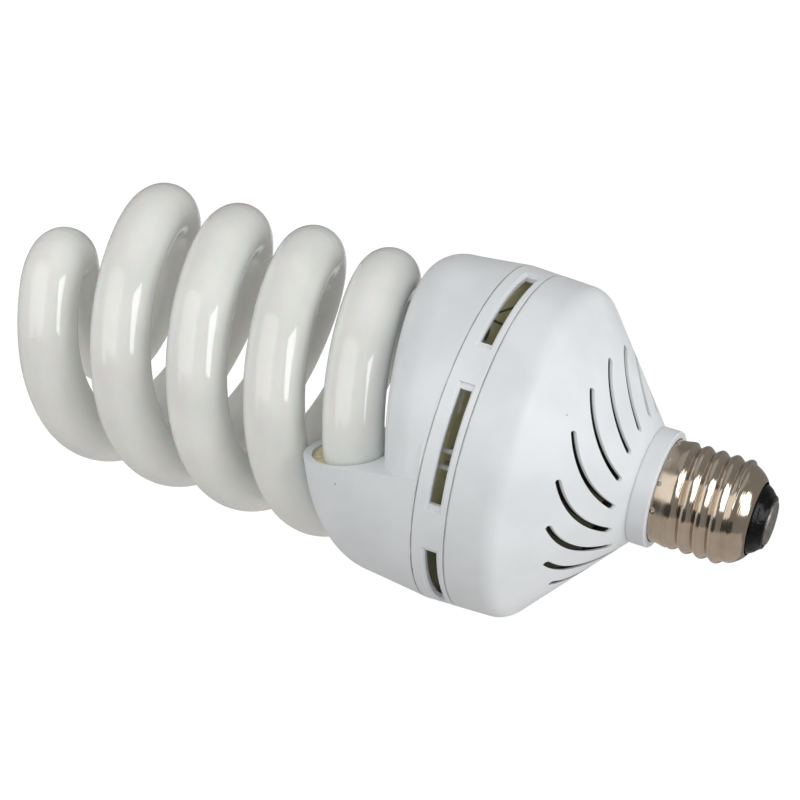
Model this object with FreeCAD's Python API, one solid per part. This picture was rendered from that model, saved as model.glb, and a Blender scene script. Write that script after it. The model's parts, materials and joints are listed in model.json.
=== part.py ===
import FreeCAD, Part
import math
import os

# A large spiral energy saving bulb with a screw cap, at its real size, in millimetres.
# It is modelled standing on its centre contact, with z up towards the spiral, and turned at the end
# so that it hangs as in a lamp: cap up, contact face at the origin, spiral below.

V = FreeCAD.Vector

# Screw cap, the standard 27 mm lamp cap
cap_crest_d = 26.05
cap_sheet = 0.35
cap_skirt_d = 25.44
cap_skirt_z = 20.5
cap_shoulder_z = 8.0
cap_shoulder_r = 4.33
cap_mouth_r = 9.39
contact_r = 5.5
contact_sheet = 0.85
eyelet_r = 2.1
eyelet_bore_r = 1.7
eyelet_top_z = 6.5
solder_r = 1.2
solder_top_z = 2.4
glass_gap = 0.08
glass_top_z = 9.2
glass_bead = 0.3

# Base housing: collar, cone and shoulder
collar_r = 14.4
collar_bottom_z = 26.3
collar_top_z = 30.6
cone_foot_r = 14.07
cone_foot_z = 31.03
head_margin = 4.805
shoulder_draft = 0.46
shoulder_z = 54.72
shoulder_round = 6.0
rim_height = 10.5
housing_wall = 1.3
skirt_gap = 0.1
skirt_depth = 4.2
slot_count = 16
slot_width = 1.3
slot_first_angle = 281.5
slot_outer_r = 29.7
slot_neck_gap = 3.43
slot_middle_share = 0.582
slot_middle_turn = 18.0
slot_inner_turn = 36.5

# Ring with air windows
ring_height = 8.35
ring_flare = 0.32
ring_wall = 2.0
seam_width = 0.3
seam_depth = 0.4
spigot_wall = 1.6
spigot_gap = 0.15
spigot_depth = 3.0
window_centres = (204.2, 261.8, 317.7)
window_angle = 39.0
window_sill = 2.08
window_height = 2.9
frame_margin = 1.5
frame_depth = 0.9
ledge_width = 3.0
ledge_height = 4.0

# Tube cover with two ramps over the tube's ends
cover_wall = 2.2
wall_taper = 0.102
plate_rise = 6.43
plate_inset = 12.68
crest_gap = 1.496
ramp_half_height = 10.8
ramp_inner_draft = 0.125
ramp_toe = 0.25
outline_count = 27
row_count = 13
mouth_angle = 243.0
mouth_rise = 20.986
mouth_clearance = 1.625
mouth_lift = 1.2
cement_length = 2.6
cement_recess = 1.0

# Discharge tube: two strands of one spiral, joined by a bridge at the tip
tube_d = 14.75
spiral_r = 29.68
spiral_pitch = 41.742
tube_hidden_angle = 106.0
tip_angle = 274.7
tip_turns = 2
tip_draw = 0.84
bridge_bend_margin = 1.453
bridge_ease = 30.0
helix_step = 45.0

# Circuit board and what it carries
board_reach = 0.39
board_t = 1.6
board_gap = 0.1
notch_depth = 2.6
notch_angle = 16.0
notch_start = 251.0
post_angles = (254.0, 260.0)
post_inset = 5.0
post_d = 1.1
wire_d = 1.8
lead_d = 1.3
wire_bend = 4.0
lead_inset = 1.3
capacitor_r = 9.0
capacitor_clear = 6.09

# Derived sizes
cap_r = cap_crest_d / 2
cap_skirt_r = cap_skirt_d / 2
tube_r = tube_d / 2
bore_r = cap_skirt_r + skirt_gap
housing_top_r = spiral_r + tube_r + head_margin
shoulder_r = housing_top_r - shoulder_draft
ring_bottom_z = shoulder_z + rim_height
ring_top_z = ring_bottom_z + ring_height
ring_top_r = housing_top_r + ring_flare
inner_r = ring_top_r - ring_wall
spigot_r = inner_r - spigot_gap - (ring_top_r - housing_top_r)
spigot_bore_r = spigot_r - spigot_wall
board_under_z = ring_top_z - spigot_gap - board_gap - board_t - 1.0
board_top_z = board_under_z + board_t
board_r = spigot_bore_r + board_reach
post_r = board_r - post_inset
lead_r = board_r - lead_inset
capacitor_foot_z = cone_foot_z + capacitor_clear
window_bottom_z = ring_bottom_z + window_sill
window_top_z = window_bottom_z + window_height
plate_z = ring_top_z + plate_rise
plate_r = spiral_r - plate_inset
slot_inner_r = cone_foot_r + slot_neck_gap
slot_middle_r = slot_inner_r + slot_middle_share * (slot_outer_r - slot_inner_r)
mouth_r = tube_r + mouth_clearance
mouth_axis_z = ring_top_z + mouth_rise
ramp_rise_over_tube = spiral_pitch / 2 - tube_r - crest_gap
strand_lead = mouth_axis_z - spiral_pitch * mouth_angle / 360
strand_slope = spiral_pitch / (2 * math.pi * spiral_r)
tip_r = spiral_r - tip_draw
bridge_bend_r = tube_r + bridge_bend_margin
bridge_half_run = math.sqrt(tip_r ** 2 - 2 * tip_r * bridge_bend_r)


def polar(radius, angle, z=0.0):
    """A point at a radius, an angle in degrees and a height."""
    turn = math.radians(angle)
    return V(radius * math.cos(turn), radius * math.sin(turn), z)


def revolved(points, angle=360.0, start=0.0):
    """A solid turned about the z axis from (radius, z) points; a point may be ('arc', r, z, r, z)."""
    edges = []
    first = V(points[0][0], 0, points[0][1])
    last = first
    for point in list(points[1:]) + [points[0]]:
        if point[0] == "arc":
            middle = V(point[1], 0, point[2])
            end = V(point[3], 0, point[4])
            edges.append(Part.Arc(last, middle, end).toShape())
        else:
            end = V(point[0], 0, point[1])
            edges.append(Part.LineSegment(last, end).toShape())
        last = end
    face = Part.Face(Part.Wire(edges))
    solid = face.revolve(V(0, 0, 0), V(0, 0, 1), angle)
    solid.rotate(V(0, 0, 0), V(0, 0, 1), start)
    return solid


def turned_copies(shape, count, first=0.0):
    """Copies of a shape spaced evenly about the z axis."""
    copies = []
    for index in range(count):
        copy = shape.copy()
        copy.rotate(V(0, 0, 0), V(0, 0, 1), first + index * 360.0 / count)
        copies.append(copy)
    return copies


def arc_from_tangent(start, tangent, end):
    """The arc that leaves start along tangent and passes through end; a line where they are in line."""
    chord = end - start
    half = chord.Length / 2
    along = V(chord).normalize()
    lean = tangent.getAngle(along)
    if lean < 1e-6:
        return Part.LineSegment(start, end).toShape()
    side = tangent - along * tangent.dot(along)
    side.normalize()
    middle = start + chord * 0.5 + side * (half * math.tan(lean / 2))
    return Part.Arc(start, middle, end).toShape()


def arc_pair(start, tangent, end, end_tangent):
    """Two arcs that join two points smoothly, each point with its own direction."""
    chord = end - start
    both = tangent + end_tangent
    spread = 2 * (1 - tangent.dot(end_tangent))
    reach = chord.dot(both)
    if spread < 1e-9:
        handle = chord.dot(chord) / (2 * reach)
    else:
        handle = (math.sqrt(reach ** 2 + spread * chord.dot(chord)) - reach) / spread
    joint = (start + end + (tangent - end_tangent) * handle) * 0.5
    joint_tangent = (end - end_tangent * handle) - (start + tangent * handle)
    joint_tangent.normalize()
    return [arc_from_tangent(start, tangent, joint), arc_from_tangent(joint, joint_tangent, end)]


def smooth_route(stations):
    """Arcs through (point, direction) stations."""
    edges = []
    for (start, tangent), (end, end_tangent) in zip(stations, stations[1:]):
        edges.extend(arc_pair(start, tangent, end, end_tangent))
    return edges


def rounded_route(points, bend=wire_bend):
    """Straight runs between points, with an arc at each corner."""
    edges = []
    last = points[0]
    for before, corner, after in zip(points, points[1:], points[2:]):
        incoming = V(corner - before).normalize()
        outgoing = V(after - corner).normalize()
        half_turn = incoming.getAngle(outgoing) / 2
        reach = min(bend * math.tan(half_turn),
                    0.45 * (corner - before).Length, 0.45 * (after - corner).Length)
        enter = corner - incoming * reach
        leave = corner + outgoing * reach
        edges.append(Part.LineSegment(last, enter).toShape())
        edges.append(arc_from_tangent(enter, incoming, leave))
        last = leave
    edges.append(Part.LineSegment(last, points[-1]).toShape())
    return edges


def rod(edges, radius):
    """A round rod along smoothly joined edges, as one solid."""
    first = edges[0]
    start = first.valueAt(first.FirstParameter)
    tangent = first.tangentAt(first.FirstParameter)
    disc = Part.Face(Part.Wire(Part.Circle(start, tangent, radius).toShape()))
    return Part.Wire(edges).makePipe(disc)


def helix_station(angle, radius=spiral_r, lift=0.0):
    """Point and direction on the first strand's centreline at an angle in degrees."""
    point = polar(radius, angle, strand_lead + lift + spiral_pitch * angle / 360)
    tangent = polar(radius, angle + 90, spiral_pitch / (2 * math.pi))
    return point, tangent.normalize()


def tip_radius(angle):
    """The spiral draws in slightly over its last half turn."""
    share = min(max((angle - (tip_angle + 360 * tip_turns - 180)) / 180.0, 0.0), 1.0)
    return spiral_r + (tip_r - spiral_r) * share * share * (3 - 2 * share)


def bridge_station(distance):
    """Point and direction on the bridge's near half, a plan distance before the axis."""
    tangency = math.degrees(math.atan2(-bridge_bend_r, bridge_half_run))
    run_angle = tip_angle - tangency
    arc = max(distance - bridge_half_run, 0.0) / bridge_bend_r
    run = min(distance, bridge_half_run)
    flat = V(run + bridge_bend_r * math.sin(arc), -bridge_bend_r * (1 - math.cos(arc)), 0)
    heading = V(-math.cos(arc), math.sin(arc), 0)
    grade = spiral_pitch / (2 * math.pi * tip_r)
    slope = grade * min(distance / bridge_ease, 1.0)
    full_height = bridge_top_z()
    if distance < bridge_ease:
        height = full_height - grade * distance ** 2 / (2 * bridge_ease)
    else:
        height = full_height - grade * (distance - bridge_ease / 2)
    turn = FreeCAD.Rotation(V(0, 0, 1), run_angle)
    point = turn.multVec(flat)
    point.z = height
    tangent = turn.multVec(heading)
    tangent.z = slope
    return point, tangent.normalize()


def bridge_arc_length():
    """Plan length of half the bridge, from the axis to where it meets the spiral."""
    bend = math.pi / 2 + math.atan2(bridge_bend_r, bridge_half_run)
    return bridge_half_run + bridge_bend_r * bend


def bridge_top_z():
    """Height of the bridge's centreline at the axis."""
    grade = spiral_pitch / (2 * math.pi * tip_r)
    foot = strand_lead + spiral_pitch * (tip_angle + 360 * tip_turns) / 360
    return foot + grade * (bridge_arc_length() - bridge_ease / 2)


def strand_stations():
    """Stations from the first strand's hidden end to the axis of the bulb."""
    start = mouth_angle - tube_hidden_angle
    end = tip_angle + 360 * tip_turns
    count = round((end - start) / helix_step)
    stations = []
    for index in range(count + 1):
        angle = start + (end - start) * index / count
        stations.append(helix_station(angle, tip_radius(angle)))
    whole = bridge_arc_length()
    bend = whole - bridge_half_run
    for share in (2 / 3, 1 / 3, 0.0):
        stations.append(bridge_station(bridge_half_run + bend * share))
    stations.append(bridge_station(0.0))
    return stations


def half_turned(stations):
    """The same stations half a turn round, walked the other way."""
    turn = FreeCAD.Rotation(V(0, 0, 1), 180)
    return [(turn.multVec(point), turn.multVec(tangent) * -1) for point, tangent in reversed(stations)]


def discharge_tube():
    """One sealed glass tube: up one strand, over the bridge and down the other."""
    first = strand_stations()
    edges = smooth_route(first) + smooth_route(half_turned(first))
    return rod(edges, tube_r)


def quarter(centre, reach, from_angle, to_angle, steps=24):
    """Points on an ellipse between two angles, about a (radius, z) centre."""
    points = []
    for step in range(steps + 1):
        angle = math.radians(from_angle + (to_angle - from_angle) * step / steps)
        points.append((centre[0] + reach[0] * math.cos(angle), centre[1] + reach[1] * math.sin(angle)))
    return points


def evenly_spaced(points, count):
    """Points at equal distances along a line of points."""
    lengths = [0.0]
    for (r0, z0), (r1, z1) in zip(points, points[1:]):
        lengths.append(lengths[-1] + math.hypot(r1 - r0, z1 - z0))
    spaced = []
    index = 0
    for step in range(count):
        want = lengths[-1] * step / (count - 1)
        while index < len(points) - 2 and lengths[index + 1] < want:
            index += 1
        share = (want - lengths[index]) / (lengths[index + 1] - lengths[index])
        (r0, z0), (r1, z1) = points[index], points[index + 1]
        spaced.append((r0 + (r1 - r0) * share, z0 + (z1 - z0) * share))
    return spaced


def ramp_outline(turn, inset):
    """Section of a ramp at a turn in degrees from its low end, as (radius, z) from its foot to the plate."""
    crest = mouth_axis_z + ramp_rise_over_tube - spiral_pitch / 2 * (1 - turn / 180.0)
    middle = crest - ramp_half_height
    toe = ramp_toe * (1 - turn / 180.0) ** 2
    foot = (ring_top_r - inset - toe, ring_top_z - (1.0 if inset else 0.0))
    side_r = ring_top_r - wall_taper * (middle - ring_top_z) - toe - inset
    inner_wall = 2 * math.log(1 + math.exp((middle - plate_z) / 2))
    fall = crest - plate_z - inner_wall
    plate_edge = (plate_r + inset + toe, plate_z - inset)
    inner = plate_edge[0] + ramp_inner_draft * inner_wall
    outer_half = quarter((spiral_r, middle), (side_r - spiral_r, ramp_half_height - inset), 0, 90)
    inner_half = quarter((spiral_r, crest - fall), (spiral_r - inner, fall - inset), 90, 180)
    points = [foot] + outer_half + inner_half[1:] + [plate_edge]
    return evenly_spaced(points, outline_count)


def square_to_strand(radius, angle, z):
    """A point of a section that leans so as to stand square to the strand at its mouth."""
    aside = -strand_slope * (z - mouth_axis_z)
    return polar(radius, angle + math.degrees(math.asin(aside / radius)), z)


def ramp_surface(start, early, inset):
    """The skin over one strand's end: the ramp's section carried half a turn round while it climbs."""
    rows = []
    for step in range(row_count):
        turn = 180.0 * step / (row_count - 1)
        section = ramp_outline(turn - early, inset)
        rows.append([square_to_strand(r, start - early + turn, z) for r, z in section])
    surface = Part.BSplineSurface()
    surface.interpolate(rows)
    return surface


def flat_face(edges):
    """A flat face inside edges given in any order."""
    return Part.Face(Part.Wire(Part.sortEdges(edges)[0]))


def ramp_body(inset, early):
    """A closed solid under both ramps, down to the foot plane."""
    first = ramp_surface(mouth_angle, early, inset)
    second = ramp_surface(mouth_angle + 180, early, inset)
    faces = [first.toShape(), second.toShape()]
    feet = []
    heads = []
    for low_skin, high_skin in ((first, second), (second, first)):
        low_u, high_u, low_v, high_v = low_skin.bounds()
        low = low_skin.uIso(low_u).toShape()
        high = high_skin.uIso(high_u).toShape()
        toe = Part.LineSegment(low_skin.value(low_u, low_v), high_skin.value(high_u, low_v)).toShape()
        rim = Part.LineSegment(low_skin.value(low_u, high_v), high_skin.value(high_u, high_v)).toShape()
        faces.append(flat_face([low, high, toe, rim]))
        feet.extend([low_skin.vIso(low_v).toShape(), toe])
        heads.extend([low_skin.vIso(high_v).toShape(), rim])
    faces.append(flat_face(feet))
    faces.append(flat_face(heads))
    shell = Part.makeShell(faces)
    shell.sewShape()
    solid = Part.Solid(shell)
    if solid.Volume < 0:
        solid.reverse()
    return solid


def mouth_route(before, after, lift):
    """Centreline of a strand near its mouth, from an angle before the mouth to one after it."""
    stations = [helix_station(mouth_angle - before, spiral_r, lift),
                helix_station(mouth_angle + after, spiral_r, lift)]
    return smooth_route(stations)


def both_sides(shape):
    """A shape and its copy half a turn round."""
    return turned_copies(shape, 2)


def tube_cover():
    """Moulded cover with two ramps that hood the tube's ends, each open at its mouth."""
    wall_turn = math.degrees(cover_wall / spiral_r)
    body = ramp_body(0.0, 0.0).cut(ramp_body(cover_wall, wall_turn))
    passage = rod(mouth_route(14.0, 9.0, mouth_lift), mouth_r)
    body = body.cut(Part.makeCompound(both_sides(passage)))
    foot = board_top_z + board_gap
    rim = ring_top_r - 1.2
    spigot = revolved([(spigot_bore_r, foot), (spigot_r, foot), (spigot_r, ring_top_z), (rim, ring_top_z),
                       (rim, ring_top_z + 1.8), (spigot_bore_r, ring_top_z + 1.8)])
    return body.fuse(spigot)


def tube_cement():
    """A bead of cement round the tube inside each mouth."""
    start = math.degrees((cement_recess + cement_length) / spiral_r)
    end = math.degrees(cement_recess / spiral_r)
    bead = rod(mouth_route(start, -end, mouth_lift), mouth_r - 0.05)
    core = rod(mouth_route(start + 4, -end + 4, 0.0), tube_r + 0.05)
    return Part.makeCompound(both_sides(bead.cut(core)))


def window_cutter(centre):
    """The opening and the bevelled frame of one air window."""
    outer = ring_top_r + 2
    half = window_angle / 2
    opening = revolved([(inner_r - 3, window_bottom_z), (outer, window_bottom_z), (outer, window_top_z),
                        (inner_r - 3, window_top_z)], window_angle, centre - half)
    margin_turn = math.degrees(frame_margin / ring_top_r)
    face_r = ring_top_r - frame_depth
    spread = frame_margin / 2 * (outer - face_r) / frame_depth
    frame = revolved([(face_r, window_bottom_z), (outer, window_bottom_z - spread),
                      (outer, window_top_z + spread), (face_r, window_top_z)],
                     window_angle + 2 * margin_turn, centre - half - margin_turn)
    return opening.fuse(frame)


def vent_ring():
    """Ring between housing and cover, with six air windows, a spigot and ledges for the board."""
    low_r = housing_top_r
    foot = ring_bottom_z - spigot_depth
    step = ring_bottom_z + 1.4
    low_seam = ring_bottom_z + seam_width
    high_seam = ring_top_z - seam_width
    wall = revolved([(low_r - seam_depth, ring_bottom_z), (low_r - seam_depth, low_seam), (low_r, low_seam),
                     (ring_top_r, high_seam), (ring_top_r - seam_depth, high_seam),
                     (ring_top_r - seam_depth, ring_top_z), (inner_r, ring_top_z), (inner_r, step),
                     (spigot_bore_r, step - 0.6), (spigot_bore_r, foot),
                     (spigot_r, foot), (spigot_r, ring_bottom_z)])
    cutters = []
    for centre in window_centres:
        cutters.extend(both_sides(window_cutter(centre)))
    wall = wall.cut(Part.makeCompound(cutters))
    ledges = []
    for before, after in zip(window_centres, window_centres[1:] + (window_centres[0] + 180.0,)):
        ledge = Part.makeBox(inner_r - spigot_bore_r + 2.6, ledge_width, ledge_height)
        ledge.translate(V(spigot_bore_r - 2.0, -ledge_width / 2, board_under_z - ledge_height))
        ledge.rotate(V(0, 0, 0), V(0, 0, 1), (before + after) / 2)
        ledges.extend(both_sides(ledge))
    return wall.fuse(ledges)


def slot_cutter():
    """One swirl slot seen along the bulb's axis: a round-ended arc, cut straight through the cone."""
    outer = polar(slot_outer_r, slot_first_angle)
    middle = polar(slot_middle_r, slot_first_angle - slot_middle_turn)
    inner = polar(slot_inner_r, slot_first_angle - slot_inner_turn)
    centre = Part.Arc(outer, middle, inner).toShape().Curve.Center
    half = slot_width / 2

    def shifted(point, distance):
        away = V(point - centre).normalize()
        return point + away * distance

    def end_cap(point, towards):
        away = V(point - centre).normalize()
        side = V(0, 0, 1).cross(away)
        if side.dot(towards) < 0:
            side = side * -1
        return point + side * half

    far_cap = end_cap(inner, inner - middle)
    near_cap = end_cap(outer, outer - middle)
    edges = [Part.Arc(shifted(outer, half), shifted(middle, half), shifted(inner, half)).toShape(),
             Part.Arc(shifted(inner, half), far_cap, shifted(inner, -half)).toShape(),
             Part.Arc(shifted(inner, -half), shifted(middle, -half), shifted(outer, -half)).toShape(),
             Part.Arc(shifted(outer, -half), near_cap, shifted(outer, half)).toShape()]
    face = Part.Face(Part.Wire(edges))
    face.translate(V(0, 0, collar_bottom_z))
    return face.extrude(V(0, 0, shoulder_z - collar_bottom_z))


def circle_edges(shape, radius, z):
    """Edges of a shape that lie at a radius and a height."""
    found = []
    for edge in shape.Edges:
        point = edge.valueAt(edge.FirstParameter)
        if abs(point.z - z) < 0.01 and abs(math.hypot(point.x, point.y) - radius) < 0.01:
            found.append(edge)
    return found


def base_housing():
    """Moulded cone that holds the cap at its neck, with swirl slots for air."""
    slope = (shoulder_z - cone_foot_z) / (shoulder_r - cone_foot_r)
    thick = housing_wall * math.sqrt(1 + slope ** 2)
    inside_r = inner_r - (ring_top_r - housing_top_r)
    inner_shoulder_z = shoulder_z + thick - slope * (shoulder_r - inside_r)
    neck_top_z = cone_foot_z + thick + slope * (bore_r - cone_foot_r)
    body = revolved([(bore_r, collar_bottom_z), (collar_r - 0.3, collar_bottom_z),
                     (collar_r, collar_bottom_z + 0.3),
                     (collar_r, collar_top_z), (cone_foot_r, cone_foot_z), (shoulder_r, shoulder_z),
                     (housing_top_r, ring_bottom_z), (inside_r, ring_bottom_z), (inside_r, inner_shoulder_z),
                     (bore_r, neck_top_z)])
    body = body.makeFillet(shoulder_round, circle_edges(body, shoulder_r, shoulder_z))
    body = body.makeFillet(shoulder_round - housing_wall, circle_edges(body, inside_r, inner_shoulder_z))
    return body.cut(Part.makeCompound(turned_copies(slot_cutter(), slot_count)))


def cap_arc(radius, from_r):
    """Middle and start of the cap's rounded shoulder at an offset radius."""
    centre_r = cap_r - cap_shoulder_r
    start_angle = -math.acos((from_r - centre_r) / radius)
    start = (from_r, cap_shoulder_z + radius * math.sin(start_angle))
    middle = (centre_r + radius * math.cos(start_angle / 2),
              cap_shoulder_z + radius * math.sin(start_angle / 2))
    return start, middle


def screw_shell():
    """Rolled sheet shell: rounded foot, thread length and the skirt inside the collar."""
    start, middle = cap_arc(cap_shoulder_r, cap_mouth_r)
    in_start, in_middle = cap_arc(cap_shoulder_r - cap_sheet, cap_mouth_r)
    top = collar_bottom_z + skirt_depth
    inside = cap_r - cap_sheet
    skirt_inside = cap_skirt_r - cap_sheet
    return revolved([start, ("arc", middle[0], middle[1], cap_r, cap_shoulder_z), (cap_r, cap_skirt_z - 0.5),
                     (cap_skirt_r, cap_skirt_z), (cap_skirt_r, top),
                     (skirt_inside, top), (skirt_inside, cap_skirt_z),
                     (inside, cap_skirt_z - 0.5), (inside, cap_shoulder_z),
                     ("arc", in_middle[0], in_middle[1], in_start[0], in_start[1])])


def cap_insulator():
    """Black glass between shell and contact, with a hole for the live wire."""
    radius = cap_shoulder_r - cap_sheet - glass_gap
    neck = cap_mouth_r - glass_gap
    start, middle = cap_arc(radius, neck)
    edge_r = cap_r - cap_sheet - glass_gap
    mouth_z = cap_arc(cap_shoulder_r, cap_mouth_r)[0][1] - 0.1
    bead_z = contact_sheet - glass_bead
    return revolved([(eyelet_r + glass_gap, contact_sheet), (contact_r + 0.2, contact_sheet),
                     (contact_r + 0.4, bead_z), (contact_r + 0.9, bead_z),
                     (contact_r + 1.2, contact_sheet + 0.2),
                     ((contact_r + 1.2 + neck) / 2, (contact_sheet + mouth_z) / 2 - 0.2),
                     (neck, mouth_z), start,
                     ("arc", middle[0], middle[1], edge_r, cap_shoulder_z), (edge_r - 1.2, glass_top_z),
                     (eyelet_r + glass_gap, eyelet_top_z - 1.0)])


def centre_contact():
    """Contact disc with its eyelet."""
    return revolved([(solder_r, 0), (contact_r - 0.3, 0), (contact_r, 0.3), (contact_r, contact_sheet),
                     (eyelet_r, contact_sheet), (eyelet_r, eyelet_top_z), (eyelet_bore_r, eyelet_top_z),
                     (eyelet_bore_r, contact_sheet), (solder_r, contact_sheet)])


def contact_solder():
    """Solder that fills the eyelet round the live wire's end."""
    return revolved([(0, 0), (solder_r, 0), (solder_r, contact_sheet), (eyelet_bore_r, contact_sheet),
                     (eyelet_bore_r, solder_top_z - 0.6), (eyelet_bore_r - 0.7, solder_top_z),
                     (0, solder_top_z)])


def circuit_board():
    """Round board on the ring's ledges, with notches for the tube's lead wires."""
    board = Part.makeCylinder(board_r, board_t, V(0, 0, board_under_z))
    low = board_under_z - 1
    high = board_top_z + 1
    notch_r = board_r - notch_depth
    notch = revolved([(notch_r, low), (board_r + 1, low), (board_r + 1, high), (notch_r, high)],
                     notch_angle, notch_start)
    return board.cut(Part.makeCompound(both_sides(notch)))


def box_under_board(width, depth, height, x, y, turn=0.0, gap=0.0, edge=0.0):
    """A block hanging under the board, centred at x, y."""
    block = Part.makeBox(width, depth, height, V(-width / 2, -depth / 2, board_under_z - gap - height))
    if edge:
        block = block.makeFillet(edge, [e for e in block.Edges if abs(e.tangentAt(e.FirstParameter).z) > 0.9])
    block.rotate(V(0, 0, 0), V(0, 0, 1), turn)
    block.translate(V(x, y, 0))
    return block


def rod_under_board(radius, height, x, y, gap=0.0):
    """A round body hanging under the board."""
    return Part.makeCylinder(radius, height, V(x, y, board_under_z - gap - height))


def pins(places, radius, length):
    """Leads that reach the board's underside."""
    return [rod_under_board(radius, length, x, y) for x, y in places]


def on_board(across, along):
    """A place on the board, given as shares of its radius."""
    return across * board_r, along * board_r


def bulk_capacitor():
    """Tall electrolytic capacitor that reaches into the neck."""
    x, y = on_board(0.104, -0.078)
    gap = 0.6
    can = rod_under_board(capacitor_r, board_under_z - gap - capacitor_foot_z, x, y, gap)
    edges = [edge for edge in can.Edges if edge.Length > 6 * capacitor_r]
    can = can.makeFillet(1.2, edges)
    return can.fuse(pins([(x - 3.75, y), (x + 3.75, y)], 0.4, 1.6))


def inductor_parts():
    """Ballast inductor: ferrite core, bobbin and winding, each its own piece."""
    x, y = on_board(-0.519, -0.104)
    clear = 0.1
    limb = 3.0
    bobbin_top = rod_under_board(8.6, 1.2, x, y, 1.4)
    bobbin_foot = rod_under_board(8.6, 1.2, x, y, 13.2)
    barrel = rod_under_board(limb + clear + 1.0, 13.0, x, y, 1.4)
    bobbin = barrel.fuse([bobbin_top, bobbin_foot])
    bobbin = bobbin.cut(rod_under_board(limb + clear, 16.0, x, y, 0.0))
    bobbin = bobbin.fuse(pins([(x - 6, y - 4), (x + 6, y - 4), (x - 6, y + 4), (x + 6, y + 4)], 0.4, 1.6))
    winding = rod_under_board(8.0, 10.4, x, y, 2.7).cut(rod_under_board(limb + clear + 1.1, 12.0, x, y, 2.0))
    yoke = box_under_board(22.0, 9.0, 17.0, x, y, 90.0, 0.2)
    window = rod_under_board(8.8, 13.4, x, y, 1.3)
    core = yoke.cut(window).fuse(rod_under_board(limb, 17.0, x, y, 0.2))
    return core, bobbin, winding


def transformer_parts():
    """Drive transformer: a small ferrite toroid with three windings of two turns."""
    x, y = on_board(0.338, 0.442)
    ring_r = 4.6
    section_r = 1.6
    wire = 0.7
    inner = section_r + 0.1
    outer = inner + wire
    middle_z = board_under_z - 3.6
    core = Part.makeTorus(ring_r, section_r, V(x, y, middle_z), V(0, 0, 1))
    turn = Part.makeBox(2 * outer, wire, 2 * outer, V(ring_r - outer, -wire / 2, middle_z - outer))
    turn = turn.cut(Part.makeBox(2 * inner, 2 * wire, 2 * inner, V(ring_r - inner, -wire, middle_z - inner)))
    rise = board_under_z - middle_z - inner
    turn = turn.fuse(Part.makeBox(wire, wire, rise, V(ring_r - wire / 2, -wire / 2, middle_z + inner)))
    coils = []
    for first in (6.0, 34.0):
        coils.extend(turned_copies(turn, 3, first))
    windings = Part.makeCompound(coils)
    windings.translate(V(x, y, 0))
    return core, windings


def power_transistors():
    """Two flat power transistors standing on their leads."""
    parts = []
    for x, y in (on_board(0.571, -0.234), on_board(0.571, 0.104)):
        body = box_under_board(4.4, 10.0, 9.0, x, y, 0.0, 3.4)
        tab = box_under_board(1.2, 10.0, 15.0, x + 2.2, y, 0.0, 3.4)
        tab = tab.cut(Part.makeCylinder(1.8, 4.0, V(x + 0.6, y, board_under_z - 15.6), V(1, 0, 0)))
        legs = pins([(x, y - 2.54), (x, y), (x, y + 2.54)], 0.4, 3.6)
        parts.append(body.fuse([tab] + legs))
    return Part.makeCompound(parts)


def axial_part(body_r, body_l, x, y, turn, gap):
    """A body on two leads of flat strip bent to the board, lying under it."""
    strip = 0.7
    reach = body_l / 2 + 2.0
    z = board_under_z - gap - body_r
    body = Part.makeCylinder(body_r, body_l, V(-body_l / 2, 0, z), V(1, 0, 0))
    low = z - strip / 2
    bridge = Part.makeBox(2 * reach, strip, board_under_z - low, V(-reach, -strip / 2, low))
    inside = reach - strip
    bridge = bridge.cut(Part.makeBox(2 * inside, 2 * strip, board_under_z, V(-inside, -strip, low + strip)))
    part = body.fuse(bridge)
    part.rotate(V(0, 0, 0), V(0, 0, 1), turn)
    part.translate(V(x, y, 0))
    return part


def rectifier_diodes():
    """Four rectifier diodes side by side."""
    x, y = on_board(-0.14, 0.675)
    return Part.makeCompound([axial_part(1.5, 5.0, x + 4.2 * index, y, 90.0, 0.5) for index in range(4)])


def resistors():
    """Four small resistors."""
    right_x, right_y = on_board(0.701, 0.442)
    left_x, left_y = on_board(-0.701, 0.325)
    right_turn = 125.0
    left_turn = 60.0
    places = [(right_x, right_y, right_turn), (right_x - 5.0, right_y + 4.0, right_turn),
              (left_x, left_y, left_turn), (left_x - 3.5, left_y + 2.0, left_turn)]
    return Part.makeCompound([axial_part(1.2, 5.5, x, y, turn, 0.5) for x, y, turn in places])


def start_capacitor():
    """Film capacitor across the tube."""
    x, y = on_board(-0.091, 0.39)
    body = box_under_board(13.0, 6.0, 11.0, x, y, 0.0, 0.3, 1.0)
    return body.fuse(pins([(x - 5.0, y), (x + 5.0, y)], 0.35, 1.0))


def coupling_capacitors():
    """Two smaller film capacitors."""
    parts = []
    for x, y in (on_board(-0.455, 0.481), on_board(0.364, -0.701)):
        body = box_under_board(9.0, 5.0, 9.0, x, y, 20.0, 0.3, 0.9)
        parts.append(body.fuse(rod_under_board(0.35, 1.0, x, y)))
    return Part.makeCompound(parts)


def filter_choke():
    """Drum choke in the mains line."""
    x, y = on_board(-0.13, -0.623)
    drum = rod_under_board(5.5, 12.0, x, y, 0.4)
    neck = rod_under_board(6.0, 8.4, x, y, 2.2).cut(rod_under_board(4.9, 9.0, x, y, 1.9))
    return drum.cut(neck).fuse(pins([(x - 2.5, y), (x + 2.5, y)], 0.4, 1.2))


def thermistor():
    """Disc thermistor that preheats the filaments."""
    x, y = on_board(0.753, 0.286)
    disc = Part.makeCylinder(3.6, 2.6, V(x, y, board_under_z - 6.0), V(math.cos(2.4), math.sin(2.4), 0))
    centre = disc.BoundBox.Center
    legs = [Part.makeCylinder(0.35, 4.6, V(centre.x, centre.y, board_under_z - 4.6))]
    return disc.fuse(legs)


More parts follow.
